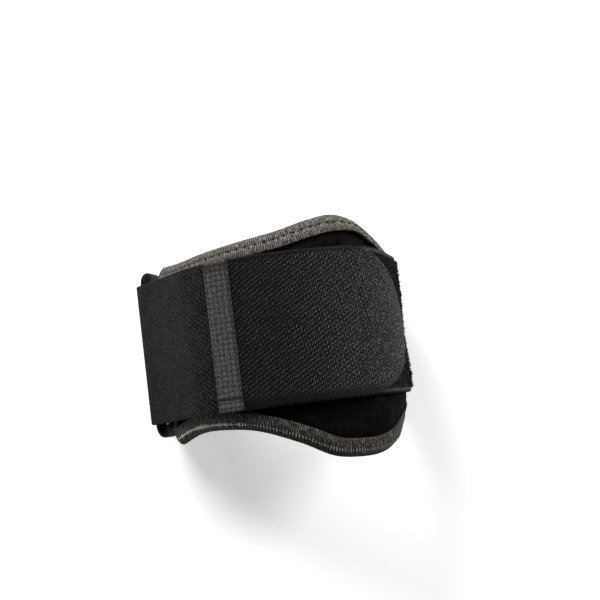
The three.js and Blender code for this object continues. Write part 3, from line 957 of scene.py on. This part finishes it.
def lip_narrowing(points):
    """The share of the lip's full width that is left."""
    narrowed = ease((points[:, 0] - LIP_NARROWS["from"]) / LIP_NARROWS["over"])
    return 1 - LIP_NARROWS["by"] * narrowed * (points[:, 1] > 0)


def sewn_line(y):
    """How far in from the binding's edge its sewn line runs, at a height on the outline."""
    return np.interp(y, [-HALF_WIDTH, HALF_WIDTH], [SEWN_LOWER, SEWN_UPPER])


def lip_height(inward, sewn, free):
    """The outer lip's offset: two soft rolls either side of the sewn line, raised where the lip is free."""
    outer_roll = OUTER_ROLL * np.sin(np.clip(inward / sewn, 0, 1) * math.pi)
    inner_share = np.clip((inward - sewn) / (BINDING_COVER - sewn), 0, 1)
    inner_roll = INNER_ROLL["height"] * np.sin(inner_share ** INNER_ROLL["power"] * INNER_ROLL["turn"])
    return BINDING_OUTSIDE - edge_taper(inward) + LIP_LIFT * free * (outer_roll + inner_roll)


BINDING_MIDDLE = (BINDING_OUTSIDE + BINDING_INSIDE) / 2
BINDING_HALF = (BINDING_OUTSIDE - BINDING_INSIDE) / 2


def binding_section():
    """Distances in, offsets and 1 for the outer lip, in rows round the fold; and how many rows show."""
    lip = np.linspace(BINDING_COVER, BINDING_HALF * EDGE_ROUND, 17)
    turn = np.linspace(math.pi / 2, -math.pi / 2, 13)[1:-1]
    hollow = BINDING_HALF - BINDING_THICK
    back_turn = np.linspace(-math.pi / 2, math.pi / 2, 9)[1:-1]

    def turned_row(start, across, up, angle):
        return start + across * (1 - math.cos(angle)), BINDING_MIDDLE + up * math.sin(angle), 0.0

    rows = [(inward, BINDING_OUTSIDE, 1.0) for inward in lip]
    rows += [turned_row(0.0, BINDING_HALF * EDGE_ROUND, BINDING_HALF, angle) for angle in turn]
    rows += [(inward, BINDING_INSIDE, 0.0) for inward in lip[::-1]]
    outer_rows = len(rows)
    ends = (BINDING_COVER, hollow + BINDING_THICK)
    rows += [(inward, BINDING_INSIDE + BINDING_THICK, 0.0) for inward in ends]
    rows += [turned_row(BINDING_THICK, hollow, hollow, angle) for angle in back_turn]
    rows += [(inward, BINDING_OUTSIDE - BINDING_THICK, 0.0) for inward in ends[::-1]]
    return np.array(rows), outer_rows


def make_binding():
    points, even = PadOutline(0.0).loop(0.42)
    _, inward_way = binding_frames(points)
    section, outer_rows = binding_section()
    inward, flat_offset, outer_lip = section.T[:, None, :]
    free = lip_freedom(points)[:, None]
    sewn = sewn_line(points[:, 1:])
    swing = np.cos(math.tau * even / STITCH_PITCH)[:, None]
    holes = np.maximum(0, swing) ** HOLES["sharpness"] * (points[:, 1:] > 0)
    near_hole = np.exp(-((inward - sewn) / HOLES["width"]) ** 2)
    inner_lip = np.clip((inward - sewn) / GATHERS["run"], 0, 1)
    pucker = HOLES["depth"] * holes * near_hole
    pucker = pucker + GATHERS["depth"] * (0.5 - 0.5 * swing) * inner_lip * free
    squeeze = edge_taper(inward) * (flat_offset - BINDING_MIDDLE) / BINDING_HALF
    offset = np.where(outer_lip > 0, lip_height(inward, sewn, free) - pucker, flat_offset - squeeze)
    across = inward * lip_narrowing(points)[:, None]
    place = points[:, None, :] + inward_way[:, None, :] * across[..., None]
    rings = on_pad(place[..., 0], place[..., 1], offset)
    widths = lengths_along(section[:, :2])
    widths = np.append(widths, widths[-1] + BINDING_THICK)
    lengths = np.append(even, even[-1] + even[1])
    uvs = uv_grid(lengths[:, None], widths[None, :])
    faces, corner_uvs = ring_skin(rings, uvs, looped=True, way=-1)
    binding = add_mesh("binding_knit", rings, faces, corner_uvs, [knit_material()])
    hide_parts("binding")
    return binding


# Sewing

THREAD_SIDES = 6
THREAD_STEPS = 4
THREAD_UV_STEPS = (0.3, 0.1)


def capsule_points(ends, radius):
    """Rings of points round blunt rods between pairs of points, which are (count, 2, 3)."""
    span = ends[:, 1] - ends[:, 0]
    way = span / norm(span, axis=1, keepdims=True)
    helper = np.where(np.abs(way[:, 2:]) < 0.9, [[0.0, 0.0, 1.0]], [[1.0, 0.0, 0.0]])
    first = np.cross(way, helper)
    first /= norm(first, axis=1, keepdims=True)
    second = np.cross(way, first)
    share = np.linspace(0, 1, THREAD_STEPS + 1)
    width = radius * np.sqrt(np.clip(1 - (2 * share - 1) ** 4, 0.02, 1))
    angles = np.linspace(0, math.tau, THREAD_SIDES, endpoint=False)[None, :, None]
    around = first[:, None, :] * np.cos(angles) + second[:, None, :] * np.sin(angles)
    middle = ends[:, None, 0] + span[:, None] * share[None, :, None]
    return middle[:, :, None, :] + around[:, None, :, :] * width[None, :, None, None]


def make_rods(name, ends, radius, material):
    """Many short threads as one mesh."""
    rods = capsule_points(ends, radius * MM)
    count, steps, sides = rods.shape[:3]
    long = np.arange(steps)[:, None] * THREAD_UV_STEPS[0]
    round_way = np.arange(sides + 1)[None, :] * THREAD_UV_STEPS[1]
    rod_faces, rod_uvs = ring_skin(rods[0], uv_grid(long, round_way), looped=False)
    starts = np.arange(count) * steps * sides
    faces = [[start + index for index in face] for start in starts for face in rod_faces]
    threads = add_mesh(name, rods, faces, np.tile(rod_uvs, (count, 1)), [material])
    return threads


# Marks on the sewn line: the run they are on, their pitch, size, lift above the lip and how far they sink
STITCH = {
    "side": -1, "pitch": STITCH_PITCH / 3, "along": 0.30, "across": 1.15, "uneven": 0.6, "radius": 0.205,
    "seed": 3, "lift": 0.14, "sink": 0.0,
}
# The needle holes' marks are dark rods sunk into the lip: painted shade in the holes
NEEDLE_HOLE_SHADE = {
    "side": 1, "pitch": STITCH_PITCH, "along": 0.95, "across": 0.56, "uneven": 0.1, "radius": 0.24,
    "seed": 4, "lift": -0.16, "sink": 0.06,
}
# Places along the form from which marks sink, and from which the stitches take a darker copy of their thread
# as painted shade
SINKS = {"from": 34.0, "over": 10.0}
SHADED_FROM = 22.0
MARKS_CLEAR = 1.0
SEAM_STITCH = {"length": 1.5, "pitch": 2.1, "radius": 0.14, "bare": 3.0}
SEAM_COLUMNS = (12.4, 14.1)


def along_binding(mark):
    """Ends of short marks along the sewn line on one run of the binding, and their places along the form."""
    points, _ = PadOutline(0.0).loop(mark["pitch"])
    along_way, inward_way = binding_frames(points)
    clear_of_strap = points[:, 1] * mark["side"] > HALF_WIDTH + MARKS_CLEAR
    shown = clear_of_strap & (points[:, 0] > PAD_ALONG[0] + PAD_CORNER_RADIUS)
    points, along_way, inward_way = points[shown], along_way[shown], inward_way[shown]
    sewn = sewn_line(points[:, 1])
    free = lip_freedom(points)
    lift = mark["lift"] - mark["sink"] * ease((points[:, 0] - SINKS["from"]) / SINKS["over"])
    generator = np.random.default_rng(mark["seed"])
    stretch = generator.uniform(1 - mark["uneven"], 1 + mark["uneven"], len(points))
    ends = []
    for share in (-0.5, 0.5):
        inward = sewn + share * mark["across"] * stretch
        across = inward * lip_narrowing(points)
        place = points + along_way * mark["along"] * share + inward_way * across[:, None]
        ends.append(on_pad(place[:, 0], place[:, 1], lip_height(inward, sewn, free) + lift))
    return np.stack(ends, axis=1), points[:, 0]


def make_binding_sewing():
    """Needle holes along the binding's upper run, marked by dark rods of painted shade, and pale stitches
    along its lower run, lit on the near part and a darker copy as painted shade further along.
    """
    holes, _ = along_binding(NEEDLE_HOLE_SHADE)
    # Painted shade: dark rods in the needle holes
    make_rods("binding_needle_hole_shade", holes, NEEDLE_HOLE_SHADE["radius"], DARK_THREAD_AND_HOLE_SHADE)
    stitches, places = along_binding(STITCH)
    # Painted light and shade: the near stitches take a lit pale copy of the thread, those further along a
    # darker shaded copy
    shaded = places > SHADED_FROM
    lit_pale_thread = thread_material("thread_lit_pale")
    shaded_thread = thread_material("thread_shaded_pale")
    make_rods("binding_stitches", stitches[~shaded], STITCH["radius"], lit_pale_thread)
    make_rods("binding_shaded_stitches", stitches[shaded], STITCH["radius"], shaded_thread)


def make_seam_stitches():
    """Columns of dark stitches on the strap beside the tape."""
    count = int((STRAP_WIDTH - SEAM_STITCH["bare"]) / SEAM_STITCH["pitch"])
    y = (np.arange(count) - (count - 1) / 2) * SEAM_STITCH["pitch"]
    heights = y[:, None] + SEAM_STITCH["length"] * np.array([-0.5, 0.5])
    ends = [on_form(column, heights, FOLD_INSIDE + STRAP_THICK) for column in SEAM_COLUMNS]
    make_rods("strap_stitches", np.concatenate(ends), SEAM_STITCH["radius"], DARK_THREAD_AND_HOLE_SHADE)


# The ring

RING_SIDES = 24
RING_CORNER_STEPS = 12


def make_ring():
    half = (RING_LENGTH - RING_END_WIDTH) / 2
    up = np.array([-RING_WAY[1], RING_WAY[0]])
    corners = [(half, RING_BAR_SPACING, 0), (-half, RING_BAR_SPACING, 90), (-half, 0, 180), (half, 0, 270)]
    around = np.linspace(0, math.tau, RING_SIDES, endpoint=False)
    rings = []
    for y, down, start in corners:
        centre_y = y - math.copysign(RING_CORNER_RADIUS, y)
        centre_down = RING_CORNER_RADIUS if down == 0 else down - RING_CORNER_RADIUS
        for angle in np.radians(start + np.linspace(0, 90, RING_CORNER_STEPS + 1)):
            half_width = math.hypot(RING_END_WIDTH * math.cos(angle), RING_BAR * math.sin(angle)) / 2
            reach = RING_CORNER_RADIUS + half_width * np.cos(around)
            flat = FRONT_BAR + np.outer(centre_down + reach * math.sin(angle), RING_WAY)
            flat = flat + np.outer(RING_BAR / 2 * np.sin(around), up)
            heights = RING_CENTRE_Y + centre_y + reach * math.cos(angle)
            rings.append(np.stack([flat[:, 0], heights, flat[:, 1] + CENTRE_HEIGHT], axis=-1) * MM)
    rings = np.array(rings)
    middles = rings.mean(axis=1)
    lengths = lengths_along(np.append(middles, middles[:1], axis=0)) / MM
    widths = np.append(around, math.tau) * RING_BAR / 2
    uvs = uv_grid(lengths[:, None], widths[None, :])
    faces, corner_uvs = ring_skin(rings, uvs, looped=True)
    ring = add_mesh("ring_loop", rings, faces, corner_uvs, [plastic_material()])
    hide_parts("ring")
    return ring


make_pad()
make_binding()
make_strap()
make_pile()
make_tab(make_tape())
make_ring()
make_binding_sewing()
make_seam_stitches()


# Floor, light and camera

CAMERA_PITCH = math.radians(-5.1)
CAMERA_ROLL = math.radians(7.0)
CAMERA_SHIFT = (-4.6, -11.9)
CAMERA_DISTANCE = 480.0
CAMERA_LENS = 81.3
SENSOR = 36.0
# Places and sizes in metres, powers in watts
LIGHTS = [
    {"name": "key", "place": (-0.9, 2.0, 1.35), "size": 1.4, "power": 84.0},
    {"name": "side", "place": (1.9, 1.2, 0.9), "size": 1.0, "power": 48.0},
]
WORLD_STRENGTH = 0.18
FLOOR_HALF = 3.0
FLOOR_LOOKS = {
    "Base Color": rgba(grey(0.9)), "Roughness": 0.9,
    "Emission Color": rgba(grey(1.0)), "Emission Strength": 0.45,
}


def make_floor():
    half = FLOOR_HALF
    mesh = bpy.data.meshes.new("floor")
    corners = [(-half, -half, 0), (half, -half, 0), (half, half, 0), (-half, half, 0)]
    mesh.from_pydata(corners, [], [(0, 1, 2, 3)])
    material = bpy.data.materials.new("floor_white")
    material.use_nodes = True
    surface = material.node_tree.nodes["Principled BSDF"]
    for key, value in FLOOR_LOOKS.items():
        surface.inputs[key].default_value = value
    mesh.materials.append(material)
    floor = add_object("floor", mesh)


def make_lights():
    target = Vector((0.0, 0.0, CENTRE_HEIGHT * MM))
    for row in LIGHTS:
        light = bpy.data.lights.new(row["name"], "AREA")
        light.shape = "DISK"
        light.size = row["size"]
        light.energy = row["power"]
        lamp = add_object(row["name"], light)
        lamp.location = row["place"]
        lamp.rotation_euler = (target - Vector(row["place"])).to_track_quat("-Z", "Y").to_euler()
    world = bpy.data.worlds.new("studio")
    world.use_nodes = True
    background = world.node_tree.nodes["Background"]
    background.inputs["Color"].default_value = rgba(grey(1.0))
    background.inputs["Strength"].default_value = WORLD_STRENGTH
    bpy.context.scene.world = world


def make_camera():
    data = bpy.data.cameras.new("camera")
    data.sensor_width = SENSOR
    data.lens = CAMERA_LENS
    camera = add_object("camera", data)
    tilt = Matrix.Rotation(-CAMERA_PITCH, 4, "X")
    roll = Matrix.Rotation(-CAMERA_ROLL, 4, "Z")
    eye = tilt @ Vector((-CAMERA_SHIFT[0], -CAMERA_SHIFT[1], CAMERA_DISTANCE))
    place = (eye + Vector((0, 0, CENTRE_HEIGHT))) * MM
    camera.matrix_world = Matrix.Translation(place) @ tilt @ roll
    bpy.context.scene.camera = camera


make_floor()
make_lights()
make_camera()
bpy.context.scene.view_settings.view_transform = "Standard"
